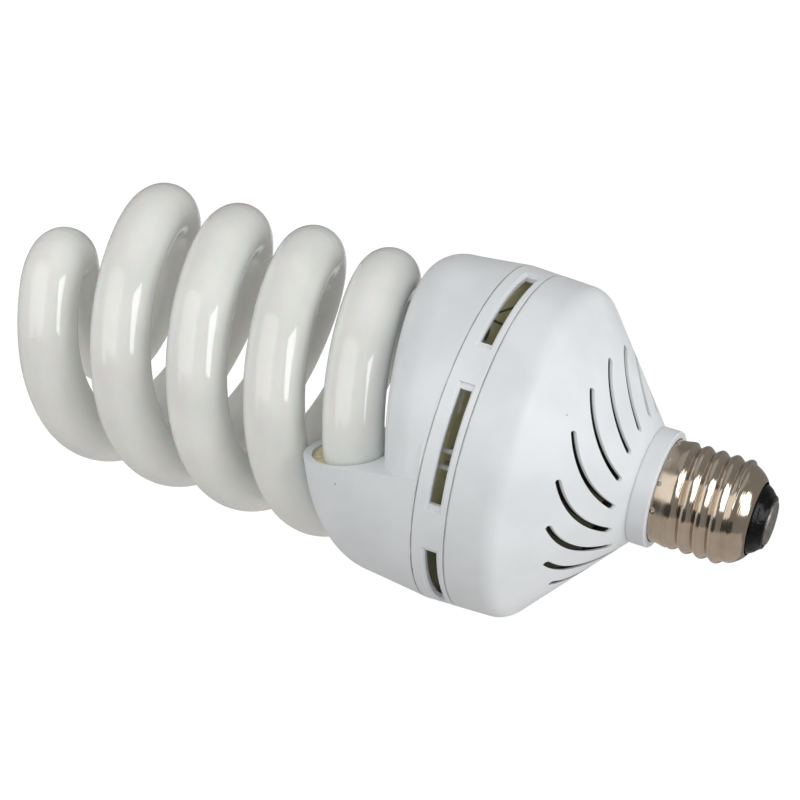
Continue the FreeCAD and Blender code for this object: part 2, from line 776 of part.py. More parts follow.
def wire_posts():
    """Four pins that the tube's lead wires are wound on."""
    posts = []
    for angle in post_angles:
        place = polar(post_r, angle)
        posts.extend(both_sides(rod_under_board(post_d / 2, 4.5, place.x, place.y)))
    return Part.makeCompound(posts)


def fuse_resistor():
    """Fusible resistor at the live wire's end."""
    x, y = on_board(-0.442, -0.649)
    return axial_part(2.0, 8.0, x, y, 20.0, 1.5)


def tube_lead_wires():
    """Two sleeved leads from each tube end, round the board's edge to their posts."""
    wires = []
    end_angle = mouth_angle - tube_hidden_angle
    end_z = helix_station(end_angle)[0].z
    for offset, post in ((-2.5, post_angles[0] - 180), (2.5, post_angles[1] - 180)):
        start = polar(spiral_r + offset, end_angle - 0.5, end_z)
        before = polar(spiral_r + offset, end_angle - 5, end_z - 1.0)
        over = polar(lead_r - 2.8 + offset * 0.4, end_angle - 26, board_top_z + 2.2 + offset * 0.4)
        near = polar(lead_r - 1.0 + offset * 0.4, post + 9, board_top_z + 2.0 + offset * 0.3)
        edge = polar(lead_r, post, board_top_z + 1.2)
        under = polar(lead_r, post, board_under_z - 2.6)
        end = polar(post_r + post_d / 2 + lead_d / 2 + 0.05, post, board_under_z - 3.0)
        route = rounded_route([start, before, over, near, edge, under, end], 1.6)
        wires.extend(both_sides(rod(route, lead_d / 2)))
    return Part.makeCompound(wires)


def up_the_cone(share):
    """A height between the collar's top and the board's underside."""
    return collar_top_z + share * (board_under_z - collar_top_z)


def live_wire():
    """From the contact's eyelet, past the capacitor, to the fuse resistor."""
    x, y = on_board(-0.275, -0.494)
    points = [V(0, 0, solder_top_z + 0.02), V(0, 0, collar_bottom_z / 2 + 3.0),
              V(-7.5, -5.0, collar_top_z - 2.6),
              V(-9.0, -12.0, up_the_cone(0.434)), V(x, y, board_under_z - 6), V(x, y, board_under_z)]
    return rod(rounded_route(points), wire_d / 2)


def neutral_wire():
    """From the shell's inner wall to the board."""
    inside = cap_skirt_r - cap_sheet - wire_d / 2 - 0.02
    end_r = 0.52 * board_r
    points = [polar(inside, -65, cap_skirt_z + 1.0), polar(inside, -65, collar_bottom_z + skirt_depth + 2),
              polar(cone_foot_r + 1.4, -65, up_the_cone(0.184)), polar(end_r - 0.5, -65, up_the_cone(0.683)),
              polar(end_r, -65, board_under_z - 5), polar(end_r, -65, board_under_z)]
    return rod(rounded_route(points), wire_d / 2)


def hung(shape):
    """The finished piece, turned over so that the cap is up."""
    turned = shape.copy()
    turned.rotate(V(0, 0, 0), V(0, 1, 0), 180)
    return turned


inductor_core, inductor_bobbin, inductor_winding = inductor_parts()
transformer_core, transformer_winding = transformer_parts()

nodes = {
    "discharge_tube": discharge_tube(),
    "tube_cement": tube_cement(),
    "tube_cover": tube_cover(),
    "vent_ring": vent_ring(),
    "base_housing": base_housing(),
    "screw_shell": screw_shell(),
    "cap_insulator": cap_insulator(),
    "centre_contact": centre_contact(),
    "contact_solder": contact_solder(),
    "circuit_board": circuit_board(),
    "bulk_capacitor": bulk_capacitor(),
    "inductor_core": inductor_core,
    "inductor_bobbin": inductor_bobbin,
    "inductor_winding": inductor_winding,
    "transformer_core": transformer_core,
    "transformer_winding": transformer_winding,
    "power_transistors": power_transistors(),
    "rectifier_diodes": rectifier_diodes(),
    "start_capacitor": start_capacitor(),
    "coupling_capacitors": coupling_capacitors(),
    "resistors": resistors(),
    "fuse_resistor": fuse_resistor(),
    "filter_choke": filter_choke(),
    "thermistor": thermistor(),
    "wire_posts": wire_posts(),
    "tube_lead_wires": tube_lead_wires(),
    "live_wire": live_wire(),
    "neutral_wire": neutral_wire(),
}

os.makedirs("parts", exist_ok=True)
for name, shape in nodes.items():
    piece = hung(shape)
    piece.exportStep("parts/" + name + ".step")
    print(name, "solids", len(piece.Solids), "valid", piece.isValid(), "volume", round(piece.Volume, 1))
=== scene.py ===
# %% [markdown]
# # A large spiral energy saving bulb
#
# The lamp hangs cap up: the face of its centre contact is at the origin and the glass spiral is below it.
# The solids come packed from the CAD model, so nothing here moves or reshapes them. This notebook gives each
# piece its real finish, rolls the thread into the screw cap, and lights the lamp as in a catalogue picture.

import json

import bpy
import numpy as np
from mathutils import Matrix, Vector


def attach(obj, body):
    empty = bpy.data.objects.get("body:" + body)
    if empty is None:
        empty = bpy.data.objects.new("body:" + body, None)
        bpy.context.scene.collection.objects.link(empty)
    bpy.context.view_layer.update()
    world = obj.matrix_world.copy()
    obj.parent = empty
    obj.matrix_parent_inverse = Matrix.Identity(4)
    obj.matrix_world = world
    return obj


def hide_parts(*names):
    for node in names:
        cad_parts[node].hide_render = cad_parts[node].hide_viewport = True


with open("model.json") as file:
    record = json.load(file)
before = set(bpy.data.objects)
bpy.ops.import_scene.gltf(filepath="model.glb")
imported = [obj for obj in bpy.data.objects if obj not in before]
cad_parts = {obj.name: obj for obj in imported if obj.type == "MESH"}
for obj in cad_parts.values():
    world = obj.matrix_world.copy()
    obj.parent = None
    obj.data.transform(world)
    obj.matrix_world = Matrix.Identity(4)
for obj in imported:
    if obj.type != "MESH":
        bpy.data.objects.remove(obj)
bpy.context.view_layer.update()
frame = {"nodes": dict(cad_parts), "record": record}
nodes = frame["nodes"]

# %% [markdown]
# ## Shader maths as plain expressions
#
# A material is a graph of nodes. Linking dozens of Math nodes by hand hides the idea, so one small class
# wraps a socket and lets Python write the arithmetic: `1 - mask * 0.3` adds the nodes by itself. Colours go
# through a Mix node, because a Math node would turn them grey.

# %% A socket that can be added and multiplied
MIX_FACTOR, MIX_LOW, MIX_HIGH, MIX_RESULT = 0, 6, 7, 2     # a Mix node's colour sockets, by number


class Value:
    """A node's output in a material. Arithmetic on it adds Math nodes; numbers alone stay numbers."""

    def __init__(self, tree, socket):
        self.tree = tree
        self.socket = socket

    def node(self, kind, inputs, output=0, **settings):
        """Add a node: its settings first, then the values or links of its sockets. Gives one output."""
        made = self.tree.nodes.new(kind)
        for name, setting in settings.items():
            setattr(made, name, setting)
        for key, value in inputs.items():
            if isinstance(value, Value):
                self.tree.links.new(value.socket, made.inputs[key])
            else:
                made.inputs[key].default_value = value
        return Value(self.tree, made.outputs[output])

    def math(self, operation, *operands):
        """One Math node on the operands, in their order."""
        return self.node("ShaderNodeMath", dict(enumerate(operands)), operation=operation)

    def __add__(self, other):
        return self.math("ADD", self, other)

    def __sub__(self, other):
        return self.math("SUBTRACT", self, other)

    def __rsub__(self, other):
        return self.math("SUBTRACT", other, self)

    def __mul__(self, other):
        return self.math("MULTIPLY", self, other)

    def __truediv__(self, other):
        return self.math("DIVIDE", self, other)

    __radd__ = __add__
    __rmul__ = __mul__

    def larger(self, other):
        """The larger of two values."""
        return self.math("MAXIMUM", self, other)

    def distance_to(self, number):
        """How far the value is from a number, either way."""
        return self.math("ABSOLUTE", self - number)

    def band(self, low, high):
        """0 at low, 1 at high, and a smooth step between; low may be the larger of the two."""
        ends = {"Value": self, "From Min": low, "From Max": high}
        return self.node("ShaderNodeMapRange", ends, interpolation_type="SMOOTHSTEP")

    def mix(self, low, high):
        """A colour that goes from low to high as the value goes from 0 to 1."""
        ends = {MIX_FACTOR: self, MIX_LOW: low, MIX_HIGH: high}
        return self.node("ShaderNodeMix", ends, output=MIX_RESULT, data_type="RGBA")

    def split(self):
        """The x, y and z of a vector."""
        first = self.node("ShaderNodeSeparateXYZ", {0: self})
        outputs = first.socket.node.outputs
        return [Value(self.tree, output) for output in outputs]


# %% [markdown]
# ## Small helpers for finishes
#
# Every pattern reads Object coordinates, which are metres in the lamp's own frame, so it stays on the piece
# from any side. Noise gives the uneven gloss and tone that real mouldings and glass have. Sizes are written
# in millimetres, because that is how a maker measures them.

# %% Colours, coordinates and noise
MM = 0.001


def shown(red, green, blue):
    """A screen's colour, from 0 to 255, as the linear colour that the shader works in, by the sRGB curve."""
    share = np.array([red, green, blue]) / 255.0
    linear = np.where(share <= 0.04045, share / 12.92, ((share + 0.055) / 1.055) ** 2.4)
    return (*[float(part) for part in linear], 1.0)


def coordinates(tree, kind):
    """A point's place, in the kind of coordinates that is named."""
    return Value(tree, tree.nodes.new("ShaderNodeTexCoord").outputs[kind])


def new_material(name, **constants):
    """A material, its shader with the constants set on it, and the Object coordinates."""
    material = bpy.data.materials.new(name)
    material.use_nodes = True
    tree = material.node_tree
    shader = tree.nodes["Principled BSDF"]
    for socket, value in constants.items():
        shader.inputs[socket.replace("_", " ")].default_value = value
    return material, shader, coordinates(tree, "Object")


def feed(shader, socket, value):
    """Link a value to one of a shader's sockets."""
    value.tree.links.new(value.socket, shader.inputs[socket])


def grain(place, size, detail=2.0, stretch=(1, 1, 1)):
    """Noise about 0.5, with patches about size millimetres across, drawn out where stretch is small."""
    scaled = place.node("ShaderNodeVectorMath", {0: place, 1: stretch}, operation="MULTIPLY")
    return place.node("ShaderNodeTexNoise", {"Vector": scaled, "Scale": 1 / (size * MM), "Detail": detail})


def relief(shader, height):
    """Bump from a height in millimetres."""
    feed(shader, "Normal", height.node("ShaderNodeBump", {"Height": height, "Strength": 1.0, "Distance": MM}))


def spot(place, centre, radius):
    """1 within a small spot about a point in millimetres, 0 outside it."""
    point = [part * MM for part in centre]
    away = place.node("ShaderNodeVectorMath", {0: place, 1: point}, output="Value", operation="DISTANCE")
    return away.band(radius * MM, radius * MM * 0.5)


def from_axis(place):
    """How far a point is from the lamp's axis, in metres: the length of its x and y."""
    across, along, _ = place.split()
    flat = place.node("ShaderNodeCombineXYZ", {0: across, 1: along})
    return flat.node("ShaderNodeVectorMath", {0: flat}, output="Value", operation="LENGTH")


def dress(piece, material):
    """Give a piece its finish, in place of any that it came with."""
    piece.data.materials.clear()
    piece.data.materials.append(material)
    print(piece.name, "is finished in", material.name)


print("a screen's middle grey is", round(shown(128, 128, 128)[0], 3), "in linear light")

# %% [markdown]
# ## The moulded housing
#
# Base housing, ring and tube cover are injection moulded in a cool white plastic with a satin skin. Such a
# skin is never quite even: the mould's spark texture breaks up the gloss, thick places sink a little, and
# dust settles in the seams, which are darkened with painted shade as well. The tone changes by a few percent
# only, or the plastic would look like stone.
# Little light gets behind the swirl slots, so shade is painted into the slotted piece's colour, dark from
# half a millimetre below its face.

# %% Satin moulded plastic
# Heights count down from the contact, and the specks are places in the lamp's own frame, in millimetres.
PLASTIC = shown(226, 229, 232)
PLASTIC_SHADE = shown(219, 222, 225)
DUST = shown(150, 146, 132)
# SHADE is the colour of the painted shade inside the slots.
SHADE = shown(26, 25, 23)
SEAMS = (65.22, 73.57)
SEAM_EDGE = (0.35 * MM, 0.08 * MM)
CONE_Z, CONE_R = 31.03, 14.07
CONE_SLOPE = 1.1537
SLOTS_END_Z = 46.5
SLOTS_FADE = 0.5
DARK_DEPTH = (0.40 * MM, 0.70 * MM)
SPECKS = (((21.8, -33.6, -94.2), 0.35), ((35.4, -22.9, -73.4), 0.4), ((-9.5, -31.0, -47.0), 0.3),
          ((-20.5, 30.5, -52.0), 0.3), ((-30.1, -22.3, -84.0), 0.25), ((12.0, 38.0, -60.0), 0.3))


def painted_shade_below_cone(place):
    """Mask of the painted shade: 1 deeper than about half a millimetre under the slotted cone, 0 on its face
    and away from the slots.

    The depth is the cone's radius at the point's height less the point's own, shortened by the slope.
    """
    up = place.split()[2]
    face = (CONE_R - CONE_SLOPE * CONE_Z) * MM - up * CONE_SLOPE
    depth = (face - from_axis(place)) / np.hypot(1, CONE_SLOPE)
    slotted = up.band(-(SLOTS_END_Z + SLOTS_FADE) * MM, -(SLOTS_END_Z - SLOTS_FADE) * MM)
    return depth.band(*DARK_DEPTH) * slotted


def moulded_plastic(name, slotted=False):
    """Cool white plastic: even tone, fine spark texture, faint sink marks, dust and painted shade at seams, a
    few specks.

    Where it is slotted, shade is painted on the walls of the slots and on what is behind them, below the
    face.
    """
    material, shader, place = new_material(name, IOR=1.5, Specular_IOR_Level=0.34)
    up = place.split()[2]
    tone = grain(place, 14.0, detail=3.0).band(0.3, 0.7)
    colour = tone.mix(PLASTIC_SHADE, PLASTIC)
    # Along the seams the colour darkens to DUST, as dust and as painted shade where the parts meet.
    upper, lower = [up.distance_to(-height * MM).band(*SEAM_EDGE) for height in SEAMS]
    dusty = upper.larger(lower) * grain(place, 4.0).band(0.2, 0.6) * 0.35
    fleck = grain(place, 1.3, detail=0.0).band(0.88, 0.90) * 0.25
    for centre, radius in SPECKS:
        fleck = fleck.larger(spot(place, centre, radius) * 0.75)
    colour = dusty.larger(fleck).mix(colour, DUST)
    if slotted:
        # Painted shade: below the cone's face the colour goes to SHADE.
        colour = painted_shade_below_cone(place).mix(colour, SHADE)
    feed(shader, "Base Color", colour)
    feed(shader, "Roughness", 0.30 + grain(place, 5.0, detail=4.0) * 0.12 + dusty * 0.3)
    relief(shader, grain(place, 0.35, detail=1.0) * 0.004 + grain(place, 22.0, detail=1.0) * 0.05)
    return material


plain_plastic = moulded_plastic("moulded_plastic")
dress(nodes["tube_cover"], plain_plastic)
dress(nodes["vent_ring"], plain_plastic)
dress(nodes["base_housing"], moulded_plastic("slotted_plastic", slotted=True))

# %% [markdown]
# ## The glass spiral
#
# The tube is clear glass with a white phosphor coat inside, so it looks like opal glass: a soft grey white
# body under a sharp gloss. A clear coat over a matte base is the same build. The coat is tinted a little,
# because a flat look through the wall crosses more glass and comes back darker. Light also spreads in the
# coat and comes through the hollow tube from behind, which a little scatter under the skin and a very faint
# glow stand for. Drawn tube is slightly uneven, which makes the long highlights waver.

# %% Phosphor coated glass
GLASS_BODY = shown(233, 234, 231)
GLASS_THIN = shown(225, 226, 223)


def coated_glass():
    """White phosphor coat seen through clear glass."""
    material, shader, place = new_material(
        "coated_glass", Roughness=0.45, IOR=1.45, Specular_IOR_Level=0.15,
        Coat_Weight=1.0, Coat_Roughness=0.03, Coat_IOR=1.75, Coat_Tint=shown(251, 252, 252),
        Subsurface_Weight=0.45, Subsurface_Scale=0.008,
        Emission_Color=shown(250, 252, 246), Emission_Strength=0.035)
    cloud = grain(place, 16.0, detail=3.0).band(0.25, 0.75)
    feed(shader, "Base Color", cloud.mix(GLASS_THIN, GLASS_BODY))
    relief(shader, grain(place, 26.0, detail=1.0) * 0.12 + grain(place, 5.0, detail=1.0) * 0.004)
    return material


dress(nodes["discharge_tube"], coated_glass())

# %% [markdown]
# ## The rolled thread of the cap
#
# A lamp cap is one drawn cup of thin nickel plated sheet, and its round thread is rolled into it. The CAD
# model keeps a smooth shell at the height of the crests, so the real one is made here as a surface of two
# parameters. One runs round the cap. The other runs along a closed section: out at the mouth, up the
# outside, round the rim and back down the inside. The thread's height is a power of the cosine of half its
# phase, and the phase turns once each pitch, which gives wide crests and narrow grooves. It runs out above
# the foot, whose round edge cuts it off softly, and a row of punch marks holds the skirt in the housing.

# %% Sizes of the cap, standing on its contact, in millimetres
CREST_R = 13.02
THREAD_DEPTH = 1.05
CREST_WIDTH = 1.3                               # the cosine's power: 2 is a plain wave, less widens crests
PITCH = 3.629
CREST_Z = 19.33
RUN_OUT = (6.9, 8.3)                            # no height for a crest at the first, all at the second
SKIRT_Z = 22.2
SKIRT_R = 12.60
SKIRT_SHOULDER = 3.0                            # the height over which the radius eases to the skirt's
THREAD_END = (SKIRT_Z - 0.4, SKIRT_Z + 0.3)
SHEET = 0.35
FOOT_Z = 7.7
FOOT_R = 12.15
FOOT_POWER = 1.35                               # the superellipse's power: 1 a cone, 2 a quarter circle
FOOT_FLARE = 3.0                                # above the foot the limit opens this fast, to limit nothing
FOOT_BLEND = 0.02                               # how soft the minimum is, in square millimetres
MOUTH_Z = 3.67
MOUTH_R = 9.0
MOUTH_LIP = 0.3
RIM_Z = 30.5
MARKS = 12
MARK_Z = 25.75
MARK_FIRST = 214.5
MARK_R = 0.42
MARK_DEPTH = 0.30
print("turns of thread", round((THREAD_END[0] - RUN_OUT[1]) / PITCH, 1), "diameter", 2 * CREST_R, "mm")


def step(value, low, high):
    """0 at low, 1 at high, smooth between, for arrays."""
    share = np.clip((value - low) / (high - low), 0, 1)
    return share * share * (3 - 2 * share)


def hang(points):
    """Points in millimetres, standing on the contact, turned over to hang from it, in metres."""
    return points * np.array([-MM, MM, -MM])


# %% The section and the thread as arrays
def foot_outside(z):
    """Radius of the rounded foot: a superellipse from the mouth out to the thread, and no limit above it."""
    share = np.clip((FOOT_Z - z) / (FOOT_Z - MOUTH_Z), 0, 1)
    rounding = (1 - share ** FOOT_POWER) ** (1 / FOOT_POWER)
    return np.where(z < FOOT_Z, MOUTH_R + (FOOT_R - MOUTH_R) * rounding, FOOT_R + FOOT_FLARE * (z - FOOT_Z))


def shell_outside(z, turn):
    """Outer radius at a height and an angle, in standing millimetres.

    The nearest crest is found by rounding the number of pitches. Its profile is a power of the half angle's
    cosine, so crests are wide and grooves narrow. A crest lower than the run-out has no height, and the
    thread stops at the skirt. The foot then cuts it off by a soft minimum, and the punch marks sink in.
    """
    pitches = (z - CREST_Z) / PITCH - turn / (2 * np.pi)
    off = pitches - np.round(pitches)
    crest = np.cos(np.pi * off) ** CREST_WIDTH * step(z - off * PITCH, *RUN_OUT)
    threaded = 1 - step(z, *THREAD_END)
    body = CREST_R - THREAD_DEPTH * (1 - crest) * threaded
    body = body - (CREST_R - SKIRT_R) * step(z, SKIRT_Z, SKIRT_Z + SKIRT_SHOULDER)
    foot = foot_outside(z)
    body = (body + foot - np.sqrt((body - foot) ** 2 + FOOT_BLEND)) / 2
    spacing = 2 * np.pi / MARKS
    off = (turn - np.radians(MARK_FIRST) + spacing / 2) % spacing - spacing / 2
    mark = np.exp(-((off * SKIRT_R) ** 2 + (z - MARK_Z) ** 2) / MARK_R ** 2)
    return body - MARK_DEPTH * mark


def threaded_shell(around=288, along=250, along_inside=90, crowding=1.15):
    """Closed sheet surface whose radius the formula above gives for each height and angle.

    The outside goes up, its rows crowded a little towards the foot. The inside comes down, one sheet's
    thickness further in.
    """
    crowded = np.linspace(0, 1, along) ** crowding
    outside_z = MOUTH_Z + (RIM_Z - MOUTH_Z) * crowded
    inside_z = np.linspace(RIM_Z, MOUTH_Z + MOUTH_LIP, along_inside)
    turn = np.linspace(0, 2 * np.pi, around, endpoint=False)[:, None]
    outer = shell_outside(outside_z[None, :], turn)
    inner = shell_outside(inside_z[None, :], turn) - SHEET
    radius = np.concatenate([outer, inner], axis=1)
    height = np.concatenate([outside_z, inside_z])[None, :] + 0 * radius
    return hang(np.stack([radius * np.cos(turn), radius * np.sin(turn), height], axis=-1))


def grid_piece(name, points, crease=50):
    """A piece over a grid of points that closes on itself both ways: four neighbours make a face.

    Edges that turn by more than the crease, in degrees, stay crisp, and the others are shaded smooth.
    """
    rows, columns = points.shape[:2]
    row = np.arange(rows)[:, None]
    column = np.arange(columns)[None, :]
    after_row, after_column = (row + 1) % rows, (column + 1) % columns
    corners = [row * columns + column, after_row * columns + column,
               after_row * columns + after_column, row * columns + after_column]
    faces = np.stack(corners, axis=-1).reshape(-1, 4)
    mesh = bpy.data.meshes.new(name)
    mesh.from_pydata(points.reshape(-1, 3).tolist(), [], faces.tolist())
    mesh.shade_smooth()
    mesh.set_sharp_from_angle(angle=np.radians(crease))
    piece = bpy.data.objects.new(name, mesh)
    bpy.context.scene.collection.objects.link(piece)
    print(name, "faces", len(faces))
    return piece


cap_shell = grid_piece("rolled_cap_shell", threaded_shell())
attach(cap_shell, "root")
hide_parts("screw_shell")

# %% [markdown]
# ## The pressed insulator
#
# Between shell and contact sits a cone of black glass, pressed while hot. It is not turned true: the surface
# is a little lobed and it rises in a thin bead round the contact. A closed profile carried round the axis
# gives the cone, and a few waves on the radius give the lobes.

# %% Profile of the insulator, radius and height in millimetres
GLASS_PROFILE = ((3.0, 0.85), (5.7, 0.85), (5.9, 0.55), (6.4, 0.55), (6.7, 1.05), (7.75, 2.05), (8.55, 3.35),
                 (8.6, 4.1), (10.1, 5.4), (11.1, 6.7), (11.3, 8.6), (3.0, 8.6))
LOBES = ((3, 1.0, 0.10), (7, 2.2, 0.06), (11, 0.4, 0.04))     # waves a turn, phase and height
LOBES_START, LOBES_STOP = (0.9, 1.8), (2.8, 3.6)
BEAD_R = 6


def pressed_insulator(around=180, along=240):
    """Radius and height run along the closed profile by its length; cosines of the angle lobe its slope."""
    corners = np.array(GLASS_PROFILE + GLASS_PROFILE[:1])
    lengths = np.concatenate([[0], np.cumsum(np.hypot(*np.diff(corners, axis=0).T))])
    place = np.linspace(0, lengths[-1], along, endpoint=False)
    radius = np.interp(place, lengths, corners[:, 0])[None, :]
    height = np.interp(place, lengths, corners[:, 1])[None, :]
    turn = np.linspace(0, 2 * np.pi, around, endpoint=False)[:, None]
    waves = sum(size * np.cos(count * turn + phase) for count, phase, size in LOBES)
    lobed = step(height, *LOBES_START) * (1 - step(height, *LOBES_STOP)) * (radius > BEAD_R)
    radius = radius + waves * lobed
    return hang(np.stack([radius * np.cos(turn), radius * np.sin(turn), height + 0 * turn], axis=-1))


insulator = grid_piece("pressed_insulator", pressed_insulator())
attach(insulator, "root")
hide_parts("cap_insulator")

# %% [markdown]
# ## Nickel, black glass and solder
#
# Nickel plate is warmer than chrome and dulls with handling: a little browner in soft patches and in the
# grooves of the thread, with fine lines round it from the roller, and less glossy on the plain skirt. The
# insulator is black glass that was pressed hot into the cup: its gloss is broken by soft ripples, and dust
# dulls it in patches. The contact is soft tinned metal that takes scratches.

# %% Nickel plated sheet
NICKEL = shown(208, 194, 177)
NICKEL_WORN = shown(168, 150, 131)
GROOVES = ((CREST_R - 0.15) * MM, (CREST_R - THREAD_DEPTH) * MM)
SKIRT_EDGE = (-(SKIRT_Z + 0.2) * MM, -(SKIRT_Z + 0.9) * MM)


def nickel_plate():
    """Worn nickel: tone by patches and grooves, lines round the cap, and a skirt that is less glossy."""
    material, shader, place = new_material("nickel_plate", Metallic=1.0)
    groove = from_axis(place).band(*GROOVES)
    skirt = place.split()[2].band(*SKIRT_EDGE)
    patch = grain(place, 5.0, detail=4.0).band(0.3, 0.75)
    lines = grain(place, 0.55, detail=1.0, stretch=(0.05, 0.05, 1.0))
    rolled = grain(place, 0.25, detail=1.0, stretch=(0.06, 0.06, 1.0))
    worn = groove * 0.15 + patch * 0.30
    feed(shader, "Base Color", worn.mix(NICKEL, NICKEL_WORN))
    feed(shader, "Roughness", 0.08 + patch * 0.03 + lines * 0.07 + skirt * 0.09)
    relief(shader, lines * 0.055 + rolled * 0.018 + grain(place, 1.4, detail=3.0) * 0.006)
    return material


dress(cap_shell, nickel_plate())


# %% Black insulator
BLACK = shown(8, 8, 9)
BLACK_DUSTY = shown(46, 44, 42)


def black_glass():
    """Pressed black glass: dark gloss, soft ripples, dusty in patches."""
    material, shader, place = new_material("black_glass", IOR=1.52, Specular_IOR_Level=0.2)
    dusty = grain(place, 2.2, detail=4.0).band(0.55, 0.85) * 0.4
    feed(shader, "Base Color", dusty.mix(BLACK, BLACK_DUSTY))
    feed(shader, "Roughness", 0.20 + dusty * 0.5)
    relief(shader, grain(place, 2.4, detail=2.0) * 0.22 + grain(place, 0.6, detail=2.0) * 0.03)
    return material


dress(insulator, black_glass())


# %% Soft metal with marks
def soft_metal(name, bright, dull, roughness, scratch=0.01):
    """Tinned or soldered metal: two tones in patches, fine crossing scratches."""
    material, shader, place = new_material(name, Metallic=1.0)
    patch = grain(place, 1.8, detail=4.0).band(0.35, 0.7)
    hair = grain(place, 0.25, detail=1.0, stretch=(1.0, 0.12, 1.0))
    feed(shader, "Base Color", patch.mix(bright, dull))
    feed(shader, "Roughness", roughness + patch * 0.15 + hair * 0.10)
    relief(shader, hair * scratch + grain(place, 1.0) * 0.02)
    return material


# %% [markdown]
# ## What shows through the windows and slots
#
# Behind the air windows are the tan laminate of the circuit board, the white sleeves of the tube's leads and
# the parts of the ballast. They are seen in shade and at a glance, so one recipe with different colours,
# gloss and grain serves them all. The laminate alone has a recipe of its own, for its woven look and for
# the marks drawn on it: a dark patch, a dark spot, two thin dark lines and two pale patches. A faint glow
# is painted light: it stands for the room's light that the real windows let in.

# %% Laminate, with places in millimetres in the lamp's own frame
BOARD_Z = -70.7
# Dark and pale marks drawn on the board, in its colour and in its glow.
DARK_PATCH = ((35.9, -16.3, BOARD_Z), 24.0)
DARK_SPOT = ((-22.0, -31.6, BOARD_Z), 2.6)
THIN_DARK_LINES = (((-28.2, -25.0, BOARD_Z), 14.0), ((-25.4, -26.9, BOARD_Z), 0.6))
LINE_REACH = 7.0
LINE_HALF = 0.22
PALE_PATCHES = (((-6.6, -35.0, BOARD_Z), 2.4), ((-3.8, -34.4, BOARD_Z), 2.0))
TAN, TAN_BROWNED = shown(206, 201, 166), shown(172, 167, 130)
TAN_DARK, TAN_PALE = shown(34, 30, 20), shown(226, 226, 216)
GLOW, GLOW_DARK, GLOW_PALE = shown(178, 174, 134), shown(20, 18, 12), shown(236, 236, 228)


def stripe(place, centre, turn):
    """1 on a thin straight mark through a point on the board, turned by some degrees from the y axis.

    The distance from its line is the part of the way from the centre that runs square to it.
    """
    across, along, _ = place.split()
    cosine, sine = np.cos(np.radians(turn)), np.sin(np.radians(turn))
    beside = (across - centre[0] * MM) * cosine + (along - centre[1] * MM) * sine
    thin = beside.distance_to(0.0).band(LINE_HALF * 1.6 * MM, LINE_HALF * MM)
    return thin * spot(place, centre, LINE_REACH * 2)


def laminate():
    """Tan paper laminate: mottled and matte, browned in patches, with dark and pale marks and a glow of
    painted light.
    """
    material, shader, place = new_material("laminate", IOR=1.45, Emission_Strength=0.13)
    warp = grain(place, 0.6, detail=1.0, stretch=(1.0, 0.2, 1.0))
    weave = warp + grain(place, 0.6, detail=1.0, stretch=(0.2, 1.0, 1.0))
    patch = grain(place, 7.0, detail=3.0).band(0.4, 0.7)
    dark = (spot(place, *DARK_PATCH) * 0.72).larger(spot(place, *DARK_SPOT) * 0.9)
    for centre, turn in THIN_DARK_LINES:
        dark = dark.larger(stripe(place, centre, turn) * 0.85)
    pale = spot(place, *PALE_PATCHES[0]).larger(spot(place, *PALE_PATCHES[1]))
    pale = pale * grain(place, 1.6).band(0.3, 0.6) * 0.8
    colour = (patch * 0.5 + weave * 0.25).mix(TAN, TAN_BROWNED)
    feed(shader, "Base Color", pale.mix(dark.mix(colour, TAN_DARK), TAN_PALE))
    # The glow is painted light; the dark marks dim it and the pale patches lift it.
    feed(shader, "Emission Color", pale.mix(dark.mix(GLOW, GLOW_DARK), GLOW_PALE))
    feed(shader, "Roughness", 0.5 + patch * 0.15)
    relief(shader, weave * 0.01)
    return material


# %% Plain inner finishes
DARKER = 0.72


def inner_finish(name, colour, roughness, size=2.0, metallic=0.0, depth=0.01):
    """Two near tones in patches, uneven gloss and a light relief."""
    material, shader, place = new_material(name, Metallic=metallic)
    darker = (*[part * DARKER for part in colour[:3]], 1.0)
    patch = grain(place, size, detail=4.0).band(0.35, 0.65)
    feed(shader, "Base Color", patch.mix(colour, darker))
    feed(shader, "Roughness", roughness + patch * 0.12)
    relief(shader, grain(place, size * 0.4, detail=3.0) * depth)
    return material


finishes = {
    "contact_metal": soft_metal("contact_metal", shown(178, 175, 170), shown(128, 125, 120), 0.38),
    "solder": soft_metal("solder", shown(190, 190, 190), shown(140, 140, 142), 0.25, 0.03),
    "cement": inner_finish("cement", shown(222, 212, 176), 0.75, 1.2, depth=0.08),
    "board": laminate(),
    "capacitor_sleeve": inner_finish("capacitor_sleeve", shown(24, 24, 28), 0.3, 6.0),
    "ferrite": inner_finish("ferrite", shown(52, 52, 55), 0.6, 1.0, depth=0.03),
    "bobbin": inner_finish("bobbin", shown(34, 33, 32), 0.5),
    "winding": inner_finish("winding", shown(170, 92, 48), 0.3, 0.8, 0.8, 0.05),
    "winding_tape": inner_finish("winding_tape", shown(226, 196, 70), 0.4, 4.0),
    "package_black": inner_finish("package_black", shown(28, 28, 28), 0.5, 1.5),
    "film_red": inner_finish("film_red", shown(132, 44, 30), 0.35, 3.0, depth=0.05),
    "film_green": inner_finish("film_green", shown(38, 92, 48), 0.35, 3.0, depth=0.05),
    "resistor_tan": inner_finish("resistor_tan", shown(196, 174, 130), 0.45),
    "fuse_grey": inner_finish("fuse_grey", shown(128, 138, 132), 0.6),
    "thermistor_brown": inner_finish("thermistor_brown", shown(110, 64, 34), 0.5, 1.5, depth=0.04),
    "tinned_wire": soft_metal("tinned_wire", shown(200, 200, 202), shown(160, 160, 162), 0.3),
    "white_sleeve": inner_finish("white_sleeve", shown(226, 224, 214), 0.7, 0.7, depth=0.05),
    "live_insulation": inner_finish("live_insulation", shown(160, 28, 22), 0.35),
    "neutral_insulation": inner_finish("neutral_insulation", shown(22, 22, 24), 0.35),
}
